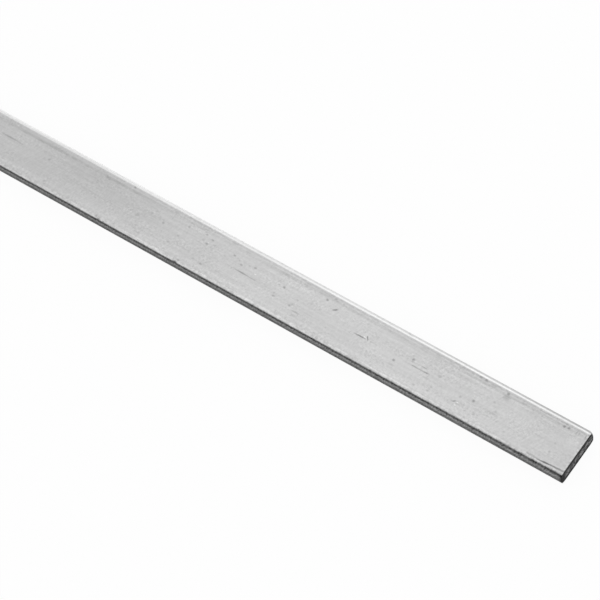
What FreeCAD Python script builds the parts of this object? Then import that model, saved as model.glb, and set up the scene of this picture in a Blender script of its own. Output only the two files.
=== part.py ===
import FreeCAD, Part
import math
import os

# A length of rolled steel flat bar with a plain grey mill finish, lying on one of its wide faces.
# It is one piece of metal: rolled to its section, then sawn to length and lightly deburred.
# X runs along the bar, Y across its width and Z up. The origin is under the middle of the bar.

# Stock size, in millimetres
BAR_LENGTH = 914.4
BAR_WIDTH = 19.05
BAR_THICKNESS = 6.35

# Rolled corners: they run out further across the wide face than down the narrow edge
CORNER_ACROSS_FACE = 2.3
CORNER_DOWN_EDGE = 0.85

# The narrow edges spread a little between the rolls, so each one stands out in the middle
EDGE_BULGE = 0.1

# The sawn ends have their sharp edge rubbed down to this radius all the way round
END_EDGE_RADIUS = 0.22

# Weight of the middle pole that turns a three-pole curve into a quarter of an ellipse
QUARTER_ELLIPSE_WEIGHT = math.sqrt(0.5)

ACROSS = FreeCAD.Vector(0, 1, 0)
UP = FreeCAD.Vector(0, 0, 1)


def section_point(across, up):
    """A point of the section, at the bar's -X end."""
    return FreeCAD.Vector(-BAR_LENGTH / 2, across, up)


def curve_between(start, tangents_meet, end, middle_weight):
    """The edge that leaves start and reaches end along the lines to the point where its tangents meet."""
    curve = Part.BezierCurve()
    curve.setPoles([start, tangents_meet, end])
    curve.setWeight(2, middle_weight)
    return curve.toShape()


def quarter_outline():
    """The lower +Y corner, and the bulged edge from there up to mid-height, where it stands upright."""
    mid_height = BAR_THICKNESS / 2
    half_edge = mid_height - CORNER_DOWN_EDGE
    edge_slope = 2 * EDGE_BULGE / half_edge
    corner_top = BAR_WIDTH / 2 - EDGE_BULGE
    corner = curve_between(
        section_point(BAR_WIDTH / 2 - CORNER_ACROSS_FACE, 0),
        section_point(corner_top - CORNER_DOWN_EDGE * edge_slope, 0),
        section_point(corner_top, CORNER_DOWN_EDGE),
        QUARTER_ELLIPSE_WEIGHT,
    )
    bulged_edge = curve_between(
        section_point(corner_top, CORNER_DOWN_EDGE),
        section_point(BAR_WIDTH / 2, mid_height - half_edge / 2),
        section_point(BAR_WIDTH / 2, mid_height),
        1,
    )
    return [corner, bulged_edge]


def rolled_section():
    """The closed outline that the rolls leave: two flat faces, and the quarter mirrored across and up."""
    middle = section_point(0, BAR_THICKNESS / 2)
    flat_half = BAR_WIDTH / 2 - CORNER_ACROSS_FACE
    wide_face = Part.makeLine(section_point(-flat_half, 0), section_point(flat_half, 0))
    quarter = quarter_outline()
    lower_half = [wide_face] + quarter + [edge.mirror(middle, ACROSS) for edge in quarter]
    upper_half = [edge.mirror(middle, UP) for edge in lower_half]
    outline = Part.sortEdges(lower_half + upper_half)[0]
    return Part.Face(Part.Wire(outline))


def flat_bar():
    """The section run out to the bar's length, with the edge of both sawn ends rubbed down."""
    sawn = rolled_section().extrude(FreeCAD.Vector(BAR_LENGTH, 0, 0))
    end_edges = [edge for edge in sawn.Edges if edge.BoundBox.XLength < END_EDGE_RADIUS]
    return sawn.makeFillet(END_EDGE_RADIUS, end_edges)


os.makedirs("parts", exist_ok=True)
flat_bar().exportStep("parts/flat_bar.step")
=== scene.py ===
import math
from collections import namedtuple
from itertools import zip_longest

import bmesh
import bpy
import numpy as np
from mathutils import Matrix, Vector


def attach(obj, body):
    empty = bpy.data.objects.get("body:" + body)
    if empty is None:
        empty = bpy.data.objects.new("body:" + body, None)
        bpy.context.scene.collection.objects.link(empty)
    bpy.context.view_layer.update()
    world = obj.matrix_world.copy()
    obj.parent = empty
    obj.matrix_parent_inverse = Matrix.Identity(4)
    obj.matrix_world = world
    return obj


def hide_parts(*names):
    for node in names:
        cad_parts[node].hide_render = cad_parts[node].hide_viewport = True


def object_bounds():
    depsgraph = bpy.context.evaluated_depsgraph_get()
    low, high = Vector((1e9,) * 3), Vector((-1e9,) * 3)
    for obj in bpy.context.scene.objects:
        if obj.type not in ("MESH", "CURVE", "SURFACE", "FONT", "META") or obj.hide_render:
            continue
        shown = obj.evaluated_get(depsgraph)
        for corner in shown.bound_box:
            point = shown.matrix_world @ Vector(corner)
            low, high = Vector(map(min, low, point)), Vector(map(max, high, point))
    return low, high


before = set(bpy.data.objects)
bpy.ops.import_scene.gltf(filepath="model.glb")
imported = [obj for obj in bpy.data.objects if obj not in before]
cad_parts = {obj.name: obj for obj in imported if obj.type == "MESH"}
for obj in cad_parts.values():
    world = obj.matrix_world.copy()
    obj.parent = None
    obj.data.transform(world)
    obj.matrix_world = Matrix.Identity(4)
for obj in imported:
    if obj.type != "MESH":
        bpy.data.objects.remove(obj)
cad_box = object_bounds()

# The bar's shape. One length of rolled steel flat, sawn off square at both ends and lying on a wide face.
# The rolls leave two flat faces, bulged narrow edges and corners that fall away like a quarter ellipse.
# Handling has left small nicks along the corners, and the saw a rough face with its edge rubbed down.

MM = 0.001
LENGTH, WIDTH, THICKNESS = (float(high - low) for low, high in zip(*cad_box))
CORNER_ACROSS = 2.3 * MM
CORNER_DOWN = 0.85 * MM
EDGE_BULGE = 0.1 * MM
END_RADIUS = 0.22 * MM
SHOWN_END = LENGTH / 2
SHOWN_STRETCH = 250 * MM


def conic(start, tangents_meet, end, weight, cells):
    """Points from start up to, not including, end.

    Each is ((1-t)^2 start + 2 w t (1-t) tangents_meet + t^2 end) over the sum of the three factors:
    a quarter of an ellipse where w is the root of a half, and a parabola where w is 1.
    """
    t = (np.arange(cells) / cells)[:, None]
    before, middle, after = (1 - t) ** 2, 2 * weight * t * (1 - t), t**2
    blend = before * np.array(start) + middle * np.array(tangents_meet) + after * np.array(end)
    return blend / (before + middle + after)


def section_outline(flat_cells, corner_cells, edge_cells):
    """The closed outline (across, up), anticlockwise seen from the +X end, starting on the underside.

    The lower right quarter is a corner and half of a bulged edge. Mirroring it gives the other three.
    """
    flat = WIDTH / 2 - CORNER_ACROSS
    half_edge = THICKNESS / 2 - CORNER_DOWN
    corner_top = WIDTH / 2 - EDGE_BULGE
    tangents_meet = corner_top - CORNER_DOWN * 2 * EDGE_BULGE / half_edge
    corner = conic((flat, 0), (tangents_meet, 0), (corner_top, CORNER_DOWN), math.sqrt(0.5), corner_cells)
    edge = conic(
        (corner_top, CORNER_DOWN),
        (WIDTH / 2, THICKNESS / 2 - half_edge / 2),
        (WIDTH / 2, THICKNESS / 2),
        1,
        edge_cells,
    )
    quarter = np.vstack([corner, edge, [[WIDTH / 2, THICKNESS / 2]]])
    to_top = quarter[::-1][1:] * (1, -1) + (0, THICKNESS)
    across_flat = np.linspace(-flat, flat, flat_cells + 1)[1:-1]
    bottom = np.column_stack([across_flat, np.zeros(flat_cells - 1)])
    top = np.column_stack([-across_flat, np.full(flat_cells - 1, THICKNESS)])
    right = np.vstack([quarter, to_top])
    left = right[::-1] * (-1, 1)
    return np.vstack([bottom, right, top, left])


def outward(outline):
    """The outward normals of a closed anticlockwise outline: the chord past each point, turned right."""
    chord = np.roll(outline, -1, axis=0) - np.roll(outline, 1, axis=0)
    return np.column_stack([chord[:, 1], -chord[:, 0]]) / np.linalg.norm(chord, axis=1)[:, None]


# Nicks in mm: along the bar from the shown end, across from its middle, half length, half width, depth
EDGE_NICKS = [
    (-189.0, -9.3, 2.6, 0.4, 0.06),
    (-156.1, -9.21, 1.3, 0.7, 0.36),
    (-122.8, -9.1, 2.0, 0.4, 0.14),
    (-70.8, 8.64, 1.2, 0.4, 0.12),
    (-44.5, -4.86, 1.1, 0.7, 0.05),
    (-32.1, -9.2, 0.5, 0.35, 0.16),
    (-30.7, 6.54, 0.7, 0.6, 0.05),
    (0.0, 9.2, 1.3, 1.3, 0.36),
]


def nick_depth(along, across, up):
    """How far handling has pushed the surface in.

    Each nick is a bowl, depth times (1 - r^2)^2 inside r = 1 seen from above. Down the narrow edge it fades
    as 3 t^2 - 2 t^3, where t falls from 1 at eight tenths of the thickness to 0 at half of it.
    """
    t = np.clip((up / THICKNESS - 0.5) / 0.3, 0, 1)
    fade = t * t * (3 - 2 * t)
    depth = np.zeros_like(along)
    for nick_along, nick_across, half_length, half_width, nick_deep in EDGE_NICKS:
        r2 = ((along - SHOWN_END - nick_along * MM) / (half_length * MM)) ** 2
        r2 = r2 + ((across - nick_across * MM) / (half_width * MM)) ** 2
        bowl = np.clip(1 - r2, 0, 1) ** 2
        depth = np.maximum(depth, nick_deep * MM * bowl * fade)
    return depth


# Rings of points on the hidden stretch of the bar, on the shown stretch, on a rubbed end and at a nick
HIDDEN_RINGS = 495
SHOWN_RINGS = 440
ROUND_RINGS = 6
NICK_RINGS = 9


def stations():
    """Places along the bar where a ring of points stands.

    They are even, more than twice as close on the shown stretch, and closer still at each nick.
    At the rubbed ends they follow x = R (1 - cos a) with a from 0 to a right angle.
    """
    end_run = END_RADIUS * (1 - np.cos(np.linspace(0, math.pi / 2, ROUND_RINGS)))
    shown_from = SHOWN_END - SHOWN_STRETCH
    hidden = np.linspace(-SHOWN_END + 1 * MM, shown_from, HIDDEN_RINGS)
    shown = np.linspace(shown_from, SHOWN_END - 0.6 * MM, SHOWN_RINGS)
    runs = [hidden, shown, -SHOWN_END + end_run, SHOWN_END - end_run]
    for nick_along, _, half_length, _, _ in EDGE_NICKS:
        middle = SHOWN_END + nick_along * MM
        runs.append(np.linspace(middle - half_length * MM, middle + half_length * MM, NICK_RINGS))
    places = np.unique(np.clip(np.round(np.concatenate(runs), 7), -SHOWN_END, SHOWN_END))
    return places[np.concatenate([[True], np.diff(places) > 0.01 * MM])]


def rolled_body(outline, along):
    """Rings of points: the outline carried along the bar, with each point moved in against its normal.

    It moves by the depth of the nick there, and by R - sqrt(R^2 - s^2) where it is s into a rubbed end.
    """
    normal = outward(outline)
    to_end = np.minimum(along + SHOWN_END, SHOWN_END - along)
    into_end = np.clip(END_RADIUS - to_end, 0, None)
    rubbed = END_RADIUS - np.sqrt(END_RADIUS**2 - into_end**2)
    x = np.repeat(along[:, None], len(outline), axis=1)
    y = np.repeat(outline[None, :, 0], len(along), axis=0)
    z = np.repeat(outline[None, :, 1], len(along), axis=0)
    sunk = rubbed[:, None] + nick_depth(x, y, z)
    return np.stack([x, y - normal[:, 0] * sunk, z - normal[:, 1] * sunk], axis=-1)


# From one ridge of the saw to the next, and the depth of its ridges and of its slower waves
SAW_PITCH = 0.7 * MM
RIDGE_DEPTH = 0.02 * MM
WAVE_DEPTH = 0.015 * MM


def saw_ridges(across, up):
    """Depth of the saw's marks on an end.

    A slanted sine wave, bent a little on its way up, is weakened where a slower wave is low, and some of
    the slower wave is added by itself.
    """
    slant = (across + 0.25 * up) * 2 * math.pi / SAW_PITCH
    ridge = 0.5 + 0.5 * np.sin(slant + 1.5 * np.sin(up / (0.9 * MM)))
    wave = 0.5 + 0.5 * np.sin(across / (1.1 * MM) + 2 * np.sin(up / (1.3 * MM)))
    return RIDGE_DEPTH * ridge * (0.3 + 0.7 * wave) + WAVE_DEPTH * wave


def sawn_cap(rim, end, rings):
    """Rings of points on the -X end (end is -1) or the +X end (end is 1), sunk by the saw's ridges.

    At a share s of the way in, each is rim + s (middle - rim), where middle is the point next to it on the
    line halfway up the section. The ridges reach their full depth a quarter of the way in.
    """
    share = (np.arange(1, rings + 1) / rings)[:, None]
    half_line = WIDTH / 2 - THICKNESS / 2
    middle_y = np.clip(rim[:, 1], -half_line, half_line)
    y = rim[:, 1] + (middle_y - rim[:, 1]) * share
    z = rim[:, 2] + (THICKNESS / 2 - rim[:, 2]) * share
    other_ridges = 3 * MM * end
    depth = saw_ridges(y + other_ridges, z) * np.minimum(share * 4, 1)
    return np.stack([end * (SHOWN_END - depth), y, z], axis=-1)


def quads_between(rings):
    """The faces between each ring of point numbers and the next, all the way round."""
    after = np.roll(rings, -1, axis=1)
    return np.stack([rings[:-1], after[:-1], after[1:], rings[1:]], axis=-1).reshape(-1, 4)


WELDED_WITHIN = 0.002 * MM


def bar_mesh(name):
    """The rolled body closed by its two sawn caps, with doubled points merged and every face outwards."""
    body = rolled_body(section_outline(flat_cells=30, corner_cells=6, edge_cells=3), stations())
    body_rings = np.arange(body[..., 0].size).reshape(body.shape[:2])
    points = [body.reshape(-1, 3)]
    faces = [quads_between(body_rings)]
    point_count = body_rings.size
    for end, rim in ((-1, 0), (1, -1)):
        cap = sawn_cap(body[rim], end, rings=12)
        cap_rings = point_count + np.arange(cap[..., 0].size).reshape(cap.shape[:2])
        point_count = point_count + cap_rings.size
        points.append(cap.reshape(-1, 3))
        quads = quads_between(np.vstack([body_rings[rim], cap_rings]))
        faces.append(quads if end > 0 else quads[:, ::-1])

    mesh = bpy.data.meshes.new(name)
    mesh.from_pydata(np.vstack(points), [], np.vstack(faces).tolist())
    welded = bmesh.new()
    welded.from_mesh(mesh)
    bmesh.ops.remove_doubles(welded, verts=welded.verts, dist=WELDED_WITHIN)
    bmesh.ops.recalc_face_normals(welded, faces=welded.faces)
    welded.to_mesh(mesh)
    welded.free()
    mesh.polygons.foreach_set("use_smooth", np.ones(len(mesh.polygons), dtype=bool))
    return mesh


bar = bpy.data.objects.new("rolled_bar", bar_mesh("rolled_bar"))
bpy.context.collection.objects.link(bar)
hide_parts("flat_bar")
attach(bar, "root")

# The marks of handling. Pits, stains and scratches on the wide faces, too shallow to show in the shape.
# Those on the shown stretch of the top face follow the photograph, and the others lie by chance.

# A mark's place, from the shown end and across, and its size are in mm, and its turn is in degrees from the
# bar's length. Darker says how much darker than the face it is (below 0, lighter)
Mark = namedtuple("Mark", "along across length width turn darker")


def marks_alike(places, length, width, darker):
    """Marks of one size and darkness that lie along the bar."""
    return [Mark(along, across, length, width, 0, darker) for along, across in places]


faint_pits = [
    (-214.0, -7.8), (-198.2, 2.2), (-195.0, -3.0), (-176.2, -4.8), (-173.9, 2.2), (-153.2, 5.5),
    (-151.1, -5.4), (-146.2, -4.3), (-142.3, 1.2), (-137.8, 2.7), (-136.8, 2.2), (-132.5, 2.3),
    (-128.4, -6.0), (-120.6, 0.6), (-119.7, 1.6), (-119.3, -1.9), (-110.8, -0.2), (-99.0, 6.2),
    (-96.7, -4.2), (-96.5, 6.6), (-80.6, -0.7), (-75.7, 2.1), (-65.5, 2.4), (-54.0, -4.4),
    (-43.3, -5.3), (-24.5, -5.8), (-17.1, 5.5), (-8.0, -0.7),
]
pits = [
    (-214.6, -6.8), (-196.2, 5.9), (-195.1, 5.4), (-162.3, -4.5), (-160.9, -0.6), (-159.6, 4.3),
    (-152.4, 2.5), (-147.7, 2.7), (-111.4, -2.5), (-99.8, 6.8), (-64.5, 0.3), (-59.4, -6.7),
    (-54.2, -6.2), (-43.7, -2.4), (-36.3, -5.6), (-33.0, 1.7), (-30.8, -1.1), (-13.8, -8.2),
    (-8.1, -4.1),
]
dark_pits = [
    (-190.4, -8.8), (-185.3, 7.5), (-168.3, 0.9), (-155.2, -8.5), (-152.4, 4.9), (-150.4, 1.8),
    (-149.4, 4.1), (-147.6, -5.7), (-139.4, 3.0), (-135.3, 1.2), (-130.4, 2.6), (-118.9, -3.1),
    (-112.1, -3.4), (-41.9, 7.3), (-39.7, 7.2),
]
deep_pits = [
    (-117.6, 1.5), (-102.2, 5.1), (-70.2, -2.4), (-64.7, 1.2), (-39.1, -1.5), (-30.8, 6.7),
    (-8.8, 6.1), (-7.2, 6.3),
]
soft_spots = [(-178.1, -1.2), (-53.7, 0.4)]
bright_specks = [
    (-213.7, 3.7), (-213.4, -6.9), (-186.0, 6.6), (-160.6, -4.0), (-155.8, -7.7), (-150.2, 2.5),
    (-148.5, 3.4), (-110.9, -3.1), (-90.4, 3.5), (-78.6, -2.2), (-66.0, 2.7), (-63.5, 0.8),
    (-42.3, -5.9), (-1.9, 3.4),
]
bright_dents = [(-129.0, 0.6), (-83.4, -0.2), (-43.6, -5.9), (-43.4, -4.7)]
short_stains = [
    (-233.1, 5.8), (-225.0, 5.9), (-210.9, 6.0), (-183.9, 5.8), (-173.5, -6.8), (-166.1, 6.7),
    (-154.1, 6.6), (-141.9, 6.9), (-136.0, 6.5), (-119.4, 6.2), (-111.1, 6.9), (-108.9, -5.9),
    (-70.0, -4.2), (-63.9, 6.8), (-58.4, 6.9), (-57.3, -2.5), (-49.2, 6.8), (-40.5, 6.8),
    (-36.4, 6.8), (-31.3, -2.2), (-24.2, 6.4),
]
long_stains = [(-217.7, 6.0), (-193.8, 6.0), (-103.5, 6.7), (-52.0, -2.7), (-20.5, 4.8)]
scratches_and_patches = [
    Mark(-236.3, 1.4, 9.0, 0.8, 0, 0.26),
    Mark(-231.6, 1.3, 5.0, 0.6, -3, 0.12),
    Mark(-218.4, 1.2, 1.6, 1.0, 40, 0.24),
    Mark(-205.7, 1.5, 4.5, 1.0, 0, 0.06),
    Mark(-188.9, -9.2, 2.0, 0.4, 0, 0.40),
    Mark(-186.9, -9.3, 1.2, 0.4, 0, 0.40),
    Mark(-166.6, 4.5, 2.5, 0.6, 90, 0.09),
    Mark(-154.1, -6.5, 3.0, 0.5, 33, 0.10),
    Mark(-133.3, -1.3, 6.6, 0.6, -1, 0.36),
    Mark(-129.0, -1.4, 4.5, 0.5, 0, 0.20),
    Mark(-110.5, -1.9, 1.2, 0.4, -45, -0.12),
    Mark(-108.9, -4.5, 5.2, 0.8, 0, 0.18),
    Mark(-97.7, 3.3, 2.5, 0.7, 32, 0.48),
    Mark(-85.0, -0.7, 5.6, 0.7, 1, 0.48),
    Mark(-83.1, 0.9, 1.2, 0.4, -60, -0.14),
    Mark(-82.3, 0.0, 2.5, 0.5, -52, 0.56),
    Mark(-79.0, -0.7, 6.0, 0.5, 0, 0.08),
    Mark(-70.8, 8.6, 2.4, 0.5, 0, 0.20),
    Mark(-63.1, -0.9, 2.4, 0.6, 0, 0.14),
    Mark(-61.0, -0.9, 8.8, 0.5, 0, 0.22),
    Mark(-60.0, 0.5, 3.4, 0.6, 0, 0.23),
    Mark(-58.2, -0.8, 2.1, 0.7, 0, 0.30),
    Mark(-57.1, -1.6, 1.1, 0.4, 75, 0.18),
    Mark(-44.6, -4.8, 2.1, 0.5, 31, 0.42),
    Mark(-30.6, 5.2, 3.4, 2.2, 0, 0.22),
    Mark(-11.8, -8.2, 5.0, 0.9, 0, 0.21),
    Mark(-9.0, -4.4, 12.0, 2.2, 0, -0.05),
    Mark(-6.7, -8.2, 8.8, 0.7, 4, 0.62),
    Mark(-4.2, 6.2, 1.9, 0.6, 90, 0.20),
    Mark(-3.6, 3.0, 6.0, 4.0, 0, -0.08),
    Mark(-3.3, 6.2, 1.9, 0.6, 90, 0.20),
    Mark(-2.1, -8.0, 5.0, 0.9, 4, 0.41),
    Mark(-0.8, 6.1, 1.9, 0.9, 90, 0.26),
]


# Marks by chance: the last one's distance from the shown end and the strip across the bar that they keep
# to, both in mm, and the share of them that are scratches
LAST_MARK = 900
STRIP = (-6.6, 6.8)
SCRATCH_SHARE = 0.25


def scattered_marks(count, nearest, seed):
    """Pits and scratches by chance, no nearer to the shown end than this distance in mm."""
    chance = np.random.default_rng(seed)
    along = chance.uniform(nearest, LAST_MARK, count) * -1
    across = chance.uniform(*STRIP, count)
    scratch = chance.random(count) < SCRATCH_SHARE
    length = np.where(scratch, chance.uniform(2.5, 9, count), chance.uniform(0.8, 1.5, count))
    width = np.where(scratch, chance.uniform(0.3, 0.5, count), length * chance.uniform(0.6, 1, count))
    turn = np.where(scratch, chance.normal(0, 9, count), chance.uniform(-60, 60, count))
    darker = chance.uniform(0.12, 0.5, count)
    return [Mark(*row) for row in np.column_stack([along, across, length, width, turn, darker]).tolist()]


# Round a mark, room for a cell of the mesh, in mm
MARGIN_ALONG = 1.4
MARGIN_ACROSS = 0.8


def half_box(mark):
    """Half the length and half the width of the upright box round a mark, with its margins, in mm."""
    turn = math.radians(mark.turn)
    half_along = mark.length / 2 * abs(math.cos(turn)) + MARGIN_ALONG
    half_across = mark.length / 2 * abs(math.sin(turn)) + mark.width / 2 + MARGIN_ACROSS
    return half_along, half_across


def apart(one, other):
    """Whether the boxes round two marks are clear of each other."""
    one_box = half_box(one)
    other_box = half_box(other)
    apart_along = abs(one.along - other.along) > one_box[0] + other_box[0]
    apart_across = abs(one.across - other.across) > one_box[1] + other_box[1]
    return apart_along or apart_across


def mark_layers(marks):
    """Shares the marks out over layers, so that in one layer all marks are clear of each other."""
    layers = []
    for mark in marks:
        for layer in layers:
            if all(apart(mark, other) for other in layer):
                layer.append(mark)
                break
        else:
            layers.append([mark])
    return layers


OUTSIDE = 9


def write_marks(mesh, name, top, under):
    """Gives each point (u, v, d) of the mark on its face that it is near, or (OUTSIDE, OUTSIDE, 0).

    u and v are the point's place in the mark's own axes, in half lengths and half widths, so the mark is
    where u^2 + v^2 < 1, however coarse the mesh is. d is how much darker the mark is.
    """
    points = np.empty(len(mesh.vertices) * 3, dtype=np.float32)
    mesh.vertices.foreach_get("co", points)
    points = points.reshape(-1, 3) / MM
    frames = np.zeros_like(points)
    frames[:, :2] = OUTSIDE
    mid_height = THICKNESS / MM / 2
    for side, marks in ((points[:, 2] > mid_height, top), (points[:, 2] < mid_height, under)):
        for mark in marks:
            half_along, half_across = half_box(mark)
            x = points[:, 0] - SHOWN_END / MM - mark.along
            y = points[:, 1] - mark.across
            near = side & (abs(x) < half_along) & (abs(y) < half_across)
            turn = math.radians(mark.turn)
            frames[near, 0] = (x * math.cos(turn) + y * math.sin(turn))[near] / (mark.length / 2)
            frames[near, 1] = (y * math.cos(turn) - x * math.sin(turn))[near] / (mark.width / 2)
            frames[near, 2] = mark.darker
    mesh.attributes.new(name, "FLOAT_VECTOR", "POINT").data.foreach_set("vector", frames.ravel())


top_marks = marks_alike(faint_pits, length=1.1, width=0.8, darker=0.12)
top_marks += marks_alike(pits, length=1.3, width=1.0, darker=0.17)
top_marks += marks_alike(dark_pits, length=1.3, width=0.9, darker=0.27)
top_marks += marks_alike(deep_pits, length=1.3, width=1.2, darker=0.35)
top_marks += marks_alike(soft_spots, length=1.7, width=1.5, darker=0.17)
top_marks += marks_alike(bright_specks, length=0.9, width=0.6, darker=-0.13)
top_marks += marks_alike(bright_dents, length=1.1, width=0.5, darker=-0.32)
top_marks += marks_alike(short_stains, length=3.2, width=1.0, darker=0.11)
top_marks += marks_alike(long_stains, length=11.0, width=1.3, darker=0.07)
top_marks += scratches_and_patches
top_marks += scattered_marks(75, nearest=255, seed=4)
under_marks = scattered_marks(120, nearest=10, seed=9)
layer_names = []
for top, under in zip_longest(mark_layers(top_marks), mark_layers(under_marks), fillvalue=()):
    layer_names.append("marks_%d" % len(layer_names))
    write_marks(bar.data, layer_names[-1], top, under)

# The bar's surface. Plain grey steel with a matte rolled skin, drawn out in fine streaks along the bar.
# The corners carry painted highlights. The narrow edges and sawn ends are painted dark as shade; the ends
# are rough.

# Greys, from 0 to 1: the rolled faces on average, the darkest painted shade on the narrow edges, and the
# painted shade at the rim of the sawn ends
FACE_GREY = 0.574
DARKEST_EDGE_SHADE = 0.085
SAWN_SHADE_GREY = 0.018


class Socket:
    """One output of a material's nodes. Arithmetic on it adds the Math nodes that work it out."""

    def __init__(self, tree, output):
        self.tree = tree
        self.output = output

    def node(self, kind, settings, inputs, output=0):
        """Adds a node of this kind: its settings, then its inputs' values or links. Gives one output."""
        made = self.tree.nodes.new(kind)
        for name, value in settings.items():
            setattr(made, name, value)
        for key, value in inputs.items():
            if isinstance(value, Socket):
                self.tree.links.new(value.output, made.inputs[key])
            else:
                made.inputs[key].default_value = value
        return Socket(self.tree, made.outputs[output])

    def maths(self, operation, *others):
        """The Math node for this operation, on this output and then the others."""
        return self.node("ShaderNodeMath", {"operation": operation}, dict(enumerate((self, *others))))

    def vector_maths(self, operation, *others, output=0):
        """The Vector Math node for this operation, on this output and then the others."""
        inputs = dict(enumerate((self, *others)))
        return self.node("ShaderNodeVectorMath", {"operation": operation}, inputs, output)

    def __add__(self, other):
        return self.maths("ADD", other)

    def __sub__(self, other):
        return self.maths("SUBTRACT", other)

    def __rsub__(self, other):
        return self.node("ShaderNodeMath", {"operation": "SUBTRACT"}, {0: other, 1: self})

    def __mul__(self, other):
        return self.maths("MULTIPLY", other)

    def __truediv__(self, other):
        return self.maths("DIVIDE", other)

    def __pow__(self, other):
        return self.maths("POWER", other)

    def __abs__(self):
        return self.maths("ABSOLUTE")

    __radd__ = __add__
    __rmul__ = __mul__

    def most(self, other):
        return self.maths("MAXIMUM", other)

    def least(self, other):
        return self.maths("MINIMUM", other)

    def rise(self, low, high):
        """0 below low and 1 above high, smooth between. With low above high it falls instead."""
        ends = {"Value": self, "From Min": low, "From Max": high}
        if low > high:
            ends = {"Value": self, "From Min": high, "From Max": low, "To Min": 1.0, "To Max": 0.0}
        return self.node("ShaderNodeMapRange", {"interpolation_type": "SMOOTHSTEP"}, ends)

    def part(self, axis):
        """One part of a vector: 0, 1 or 2."""
        return self.node("ShaderNodeSeparateXYZ", {}, {0: self}, axis)

    def stretched(self, per_metre, shift=(0, 0, 0)):
        """The place times a pattern's cells to the metre along each axis, and shifted by some cells."""
        return self.node("ShaderNodeMapping", {}, {"Vector": self, "Scale": per_metre, "Location": shift})

    def drawn_out(self, size, turn):
        """The place turned and divided by a size for each axis, so that a pattern on it lies askew."""
        inputs = {"Vector": self, "Rotation": turn, "Scale": size}
        return self.node("ShaderNodeMapping", {"vector_type": "TEXTURE"}, inputs)

    def noise(self, detail, roughness=0.5, output=0):
        """Soft noise, from 0 to 1 about a half. Output 1 gives three such noises as a vector."""
        inputs = {"Vector": self, "Scale": 1.0, "Detail": detail, "Roughness": roughness}
        return self.node("ShaderNodeTexNoise", {}, inputs, output)

    def grey(self):
        """The colour of this level of grey, mixed from black and white."""
        inputs = {0: self, 6: (0.0, 0.0, 0.0, 1.0), 7: (1.0, 1.0, 1.0, 1.0)}
        return self.node("ShaderNodeMix", {"data_type": "RGBA"}, inputs, 2)


steel = bpy.data.materials.new("rolled_steel")
steel.use_nodes = True
tree = steel.node_tree
tree.nodes.remove(tree.nodes["Principled BSDF"])
place = Socket(tree, tree.nodes.new("ShaderNodeTexCoord").outputs["Object"])

# Where a point is, in mm. Along the bar it is so far from the shown end (below 0), and from the nearer end.
# On the section it is so far across, up, from the nearer wide face and from the middle line
from_shown = (place.part(0) - SHOWN_END) / MM
to_end = (SHOWN_END - abs(place.part(0))) / MM
across = place.part(1) / MM
up = place.part(2) / MM
fall = up.least(THICKNESS / MM - up)
off_middle = abs(across)

# Textures that several tones share: long and short streaks, soft mottling, a fine grain, wear and flecks
streaks = place.stretched((38, 820, 820)).noise(3, 0.6)
fine_streaks = place.stretched((150, 2600, 2600), (3, 1, 7)).noise(3, 0.6)
mottling = place.stretched((1100, 1250, 1250), (5, 9, 2)).noise(3, 0.55)
grain = place.stretched((3600, 4600, 4600)).noise(2)
wear = place.stretched((90, 900, 900), (8, 8, 8)).noise(3, 0.6)
flecks = place.stretched((1000, 1100, 1100), (3, 8, 5)).noise(2, 0.6).rise(0.38, 0.62)

# Stretches that several tones share, from 0 to 1: the far half (+Y), the run up to the shown end, the later
# part of that run, and its last 40 mm
far = across.rise(-0.5, 0.5)
nearing = from_shown.rise(-260, 0)
near_end = nearing**2
very_end = from_shown.rise(-40, 0)


def skin_tone():
    """How much lighter than average the rolled skin is: streaks, mottling, grain and slow waves of tone."""
    busy = place.stretched((110, 230, 230), (4, 2, 6)).noise(2).rise(0.38, 0.62)
    skin = (streaks - 0.5) * 0.27 + (fine_streaks - 0.5) * 0.16 + (mottling - 0.5) * (0.3 + busy * 0.4)
    skin = skin + (grain - 0.5) * (0.12 + busy * 0.3)
    far_lines = place.stretched((70, 1500, 1500), (2, 6, 9)).noise(1)
    skin = skin + (far_lines - 0.5) * 0.3 * across.rise(2, 6) * from_shown.rise(-150, 0)
    skin = skin * (0.76 + from_shown.rise(-205, -150) * 0.24)
    broad_tone = place.stretched((13, 70, 70), (11, 4, 1)).noise(2)
    slow_wave = ((from_shown + 85) * (2 * math.pi / 300)).maths("COSINE")
    skin = skin + (broad_tone - 0.5) * 0.12 + slow_wave * 0.055
    duller = from_shown.rise(-150, -185) * from_shown.rise(-235, -195)
    duller = duller * across.rise(-6, -1) * across.rise(7, 6.5)
    return skin - duller * 0.055 + from_shown.rise(-215, -240) * 0.02


def fine_scratches():
    """Fine scratches that cross the bar, most 65 degrees from its length and some nearly square to it."""
    slanting = place.drawn_out((4 * MM, 0.55 * MM, 4 * MM), (0, 0, 1.13)).noise(1)
    square = place.drawn_out((4 * MM, 0.7 * MM, 4 * MM), (0, 0, 1.75)).noise(1)
    patches = place.stretched((60, 120, 120), (1, 6, 2)).noise(2)
    return (slanting - 0.5) * patches.rise(0.3, 0.6) + (square - 0.5) * patches.rise(0.6, 0.4) * 0.6


def mark_darkness():
    """How much darker the marks are: each is an ellipse in its own axes, with a ragged and soft outline."""
    ragged = place.stretched((1900, 1900, 1900), (2, 5, 3)).noise(2, output=1)
    ragged = ragged.vector_maths("SUBTRACT", (0.5, 0.5, 0.5)).vector_maths("MULTIPLY", (0.9, 0.9, 0))
    layers = []
    for layer_name in layer_names:
        in_axes = place.node("ShaderNodeAttribute", {"attribute_name": layer_name}, {}, 1)
        reach = in_axes.vector_maths("MULTIPLY_ADD", (1, 1, 0), ragged).vector_maths("LENGTH", output=1)
        layers.append(reach.rise(1.2, 0.25) * in_axes.part(2))
    return sum(layers)


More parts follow.
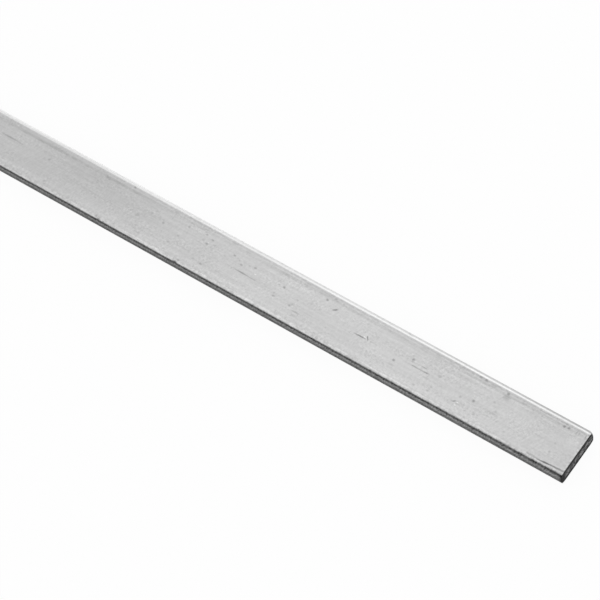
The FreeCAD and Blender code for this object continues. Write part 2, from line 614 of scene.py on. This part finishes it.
def far_side_dark_lines():
    """How much darker the two lines are that run along the wide faces, beside the far corner (+Y)."""
    inner = off_middle.rise(5.2, 5.9) * off_middle.rise(6.8, 6.3) * far
    inner = inner * (0.4 + abs(from_shown + 150).rise(15, 35) * 0.6) * (1 - very_end * 0.55)
    outer = off_middle.rise(6.7, 7.2) * off_middle.rise(7.7, 7.45) * far
    outer = outer * (0.1 + from_shown.rise(-225, -165) * (0.8 + near_end * 0.6 + very_end * 0.9))
    blotches = place.stretched((420, 1100, 1100), (6, 2, 8)).noise(4, 0.8).rise(0.42, 0.66)
    return (inner + outer) * (0.055 + blotches * 0.12)


def near_corner_highlight():
    """How much lighter the near corner (-Y) is: a painted highlight in a flecked band, more worn and
    brighter further out.
    """
    worn = wear.rise(0.42, 0.68) * 0.12 + flecks * 0.09 + nearing * 0.03
    band = off_middle.rise(5.6, 7.6) * (flecks * 0.05 + 0.01) + off_middle.rise(8.2, 8.8) * worn
    return (band + off_middle.rise(8.8, 9.15) * 0.07) * (1 - far)


def far_corner_highlight():
    """How much lighter the far corner is: a painted highlight, varied by the wear pattern and wider away
    from the shown end.
    """
    band = off_middle.rise(7.67, 8.07) * far * (0.22 + wear * 0.16) * (0.6 + near_end * 0.4)
    return band + fall.rise(0.02, 0.45) * far * (1 - near_end) * 0.3


def metal_level(marks):
    """The grey of the bare metal: the skin, its scratches, the painted corner highlights and the painted
    shade line beyond the far one, and a flecked painted highlight on the rim at the ends.
    """
    level = FACE_GREY * (1 + skin_tone() + fine_scratches() * 0.18)
    level = level * (1 - far_side_dark_lines()) + near_corner_highlight() + far_corner_highlight()
    # Painted shade: a darker line on the far corner just beyond its painted highlight
    shade_beyond_far_highlight = off_middle.rise(8.27, 8.66) * far
    level = level * (1 - shade_beyond_far_highlight * (nearing * 0.27 + very_end * 0.13))
    # Painted highlight: a flecked lighter rim next to each end
    rim = to_end.rise(0.9, 0.4)
    return level * (1 + rim * (flecks * 0.34 - 0.12)) * (1 - marks)


def edge_shade_mask():
    """Where the narrow edges are painted dark as shade, 0 to 1 over a ragged border.

    On the near side it starts nearer the wide face towards the shown end, and on the far side further down.
    """
    ragged = place.stretched((900, 500, 500), (9, 1, 1)).noise(2, 0.6)
    starts = 0.27 + ragged * 0.3 - near_end * 0.15 + far * (0.22 + near_end * 0.15)
    starts = starts - very_end * 0.06 - from_shown.rise(-11, -5) * 0.06
    fades_over = 0.7 - near_end * 0.24 - far * (0.4 - near_end * 0.24)
    return ((fall - starts) / fades_over).rise(0.0, 1.0)


def edge_shade_level(marks):
    """The grey of the painted shade on the narrow edges, streaked: darkest towards the upper corner and the
    ends, lightest halfway up.
    """
    middle = up.rise(2.6, 3.4) * (up - near_end * 0.45).rise(4.55, 3.6)
    level = DARKEST_EDGE_SHADE + up.rise(3.6, 2.9) * 0.05 + up.rise(1.6, 0.9) * 0.085 + middle * 0.157
    long_streaks = place.stretched((330, 1400, 1400), (1, 2, 3)).noise(4, 0.65)
    strokes = place.drawn_out((1.5 * MM, 2 * MM, 0.47 * MM), (0, -1.1, 0)).noise(1)
    stroke_depth = 1.5 + near_end * 0.4 + up.rise(3.6, 4.4) * 1.4
    level = level * (1 + (long_streaks - 0.5) * 1.5 + (strokes - 0.5) * stroke_depth)
    return level * (1 - marks) * (1 - to_end.rise(1.5, 0.2) * 0.88)


def sawn_end_shade():
    """The grey of the sawn ends, painted dark as shade: darkest at the rim, with lighter patches and saw
    lines within it.
    """
    patches = place.stretched((700, 620, 520), (7, 7, 7)).noise(3, 0.7)
    saw_lines = place.stretched((200, 2600, 700), (4, 4, 4)).noise(3, 0.6)
    middle = up.rise(5.4, 3.3) * up.rise(0.8, 2.6) * across.rise(-8.5, -6.4) * across.rise(9.6, 8.6)
    return SAWN_SHADE_GREY + middle * (0.03 + patches.rise(0.43, 0.6) * 0.22 + (saw_lines - 0.5) * 0.22)


marks = mark_darkness()
relief = streaks * 0.5 + fine_streaks * 0.5 + mottling * 0.5 + grain * 0.4 - marks * 3
bump = place.node("ShaderNodeBump", {}, {"Strength": 0.5, "Distance": 0.02 * MM, "Height": relief})
bare_metal = place.node(
    "ShaderNodeBsdfPrincipled",
    {},
    {
        "Base Color": metal_level(marks).grey(),
        "Metallic": 1.0,
        "Roughness": 0.42 + (fine_streaks - 0.5) * 0.15 + (mottling - 0.5) * 0.2 + marks * 0.3,
        "Normal": bump,
    },
)
# Painted shade: the narrow edges and the sawn ends take dark greys in a duller, rougher shader
on_end = to_end.rise(0.1, 0.02)
edge_shade_grey = edge_shade_level(marks)
shaded_edges_and_ends = place.node(
    "ShaderNodeBsdfPrincipled",
    {},
    {
        "Base Color": (edge_shade_grey + on_end * (sawn_end_shade() - edge_shade_grey)).grey(),
        "Specular IOR Level": 0.1,
        "Roughness": 0.7,
        "Normal": bump,
    },
)
in_painted_shade = edge_shade_mask().most(on_end)
surface = place.node("ShaderNodeMixShader", {}, {0: in_painted_shade, 1: bare_metal, 2: shaded_edges_and_ends})
tree.links.new(surface.output, tree.nodes["Material Output"].inputs["Surface"])
bar.data.materials.append(steel)

# The stage: a sheet of white paper under soft studio light, seen from the photograph's place.
# The camera looks down at the bar from its near right side, rolled a little about its own line of sight.

FLOOR_HALF = 6.0
PAPER_GREY = 0.95
PURE_WHITE_SHARE = 0.94
STUDIO_LIGHT = 0.82
floor_mesh = bpy.data.meshes.new("floor")
floor_mesh.from_pydata(
    [(x * FLOOR_HALF, y * FLOOR_HALF, 0) for x, y in ((-1, -1), (1, -1), (1, 1), (-1, 1))],
    [],
    [(0, 1, 2, 3)],
)
floor = bpy.data.objects.new("floor", floor_mesh)
bpy.context.collection.objects.link(floor)

# To the camera and in mirrors the paper is mostly pure white, and the rest of it keeps the bar's shadow
paper = bpy.data.materials.new("white_paper")
paper.use_nodes = True
paper_tree = paper.node_tree
paper_shader = paper_tree.nodes["Principled BSDF"]
paper_shader.inputs["Base Color"].default_value = (PAPER_GREY, PAPER_GREY, PAPER_GREY, 1)
paper_shader.inputs["Roughness"].default_value = 0.9
lit = Socket(paper_tree, paper_shader.outputs[0])
rays = paper_tree.nodes.new("ShaderNodeLightPath")
seen = Socket(paper_tree, rays.outputs["Is Camera Ray"])
for kind in ("Is Glossy Ray", "Is Transmission Ray"):
    seen = seen.most(Socket(paper_tree, rays.outputs[kind]))
white = seen.node("ShaderNodeEmission", {}, {"Color": (1, 1, 1, 1), "Strength": 1.0})
paper_surface = seen.node("ShaderNodeMixShader", {}, {0: seen * PURE_WHITE_SHARE, 1: lit, 2: white})
paper_tree.links.new(paper_surface.output, paper_tree.nodes["Material Output"].inputs["Surface"])
floor_mesh.materials.append(paper)

world = bpy.data.worlds.new("studio")
bpy.context.scene.world = world
world.use_nodes = True
background = world.node_tree.nodes["Background"]
background.inputs["Color"].default_value = (1, 1, 1, 1)
background.inputs["Strength"].default_value = STUDIO_LIGHT


def softbox(name, place_at, look_at, size, radiance):
    """A square lamp facing a point. Its power is pi times its area times the radiance that is wanted."""
    lamp = bpy.data.lights.new(name, "AREA")
    lamp.shape = "SQUARE"
    lamp.size = size
    lamp.energy = math.pi * size * size * radiance
    holder = bpy.data.objects.new(name, lamp)
    bpy.context.collection.objects.link(holder)
    away = np.array(place_at) - np.array(look_at)
    tilt = math.atan2(math.hypot(away[0], away[1]), away[2])
    heading = math.atan2(away[0], -away[1])
    holder.location = place_at
    holder.rotation_euler = (tilt, 0, heading)


softbox("overhead", place_at=(0.2, 0.3, 1.8), look_at=(0.3, 0.0, 0.0), size=2.0, radiance=0.22)
softbox("behind", place_at=(-0.12, 0.9, 0.85), look_at=(0.3, 0.0, 0.0), size=0.6, radiance=0.45)

# The photograph's viewpoint, fitted to the bar's edge lines: the camera's heading, how far it looks down,
# its roll, the point of the floor that it looks at, its distance from there, and its lens in mm
AZIMUTH = math.radians(-45.92)
ELEVATION = math.radians(58.782)
ROLL = math.radians(-12.632)
TARGET = np.array([SHOWN_END - 112.93 * MM, 2.93 * MM, 0.0])
DISTANCE = 1.02865
FOCAL_LENGTH = 182.36
SENSOR_WIDTH = 36
forward = np.array(
    [
        math.cos(ELEVATION) * math.sin(AZIMUTH),
        math.cos(ELEVATION) * math.cos(AZIMUTH),
        -math.sin(ELEVATION),
    ]
)
level_right = np.array([math.cos(AZIMUTH), -math.sin(AZIMUTH), 0])
level_up = np.cross(level_right, forward)
right = math.cos(ROLL) * level_right + math.sin(ROLL) * level_up
head = np.cross(right, forward)
pose = np.eye(4)
pose[:3, :] = np.column_stack([right, head, -forward, TARGET - DISTANCE * forward])
lens = bpy.data.cameras.new("camera")
lens.lens = FOCAL_LENGTH
lens.sensor_width = SENSOR_WIDTH
camera = bpy.data.objects.new("camera", lens)
bpy.context.collection.objects.link(camera)
camera.matrix_world = Matrix(pose)
bpy.context.scene.camera = camera
bpy.context.scene.view_settings.view_transform = "Standard"
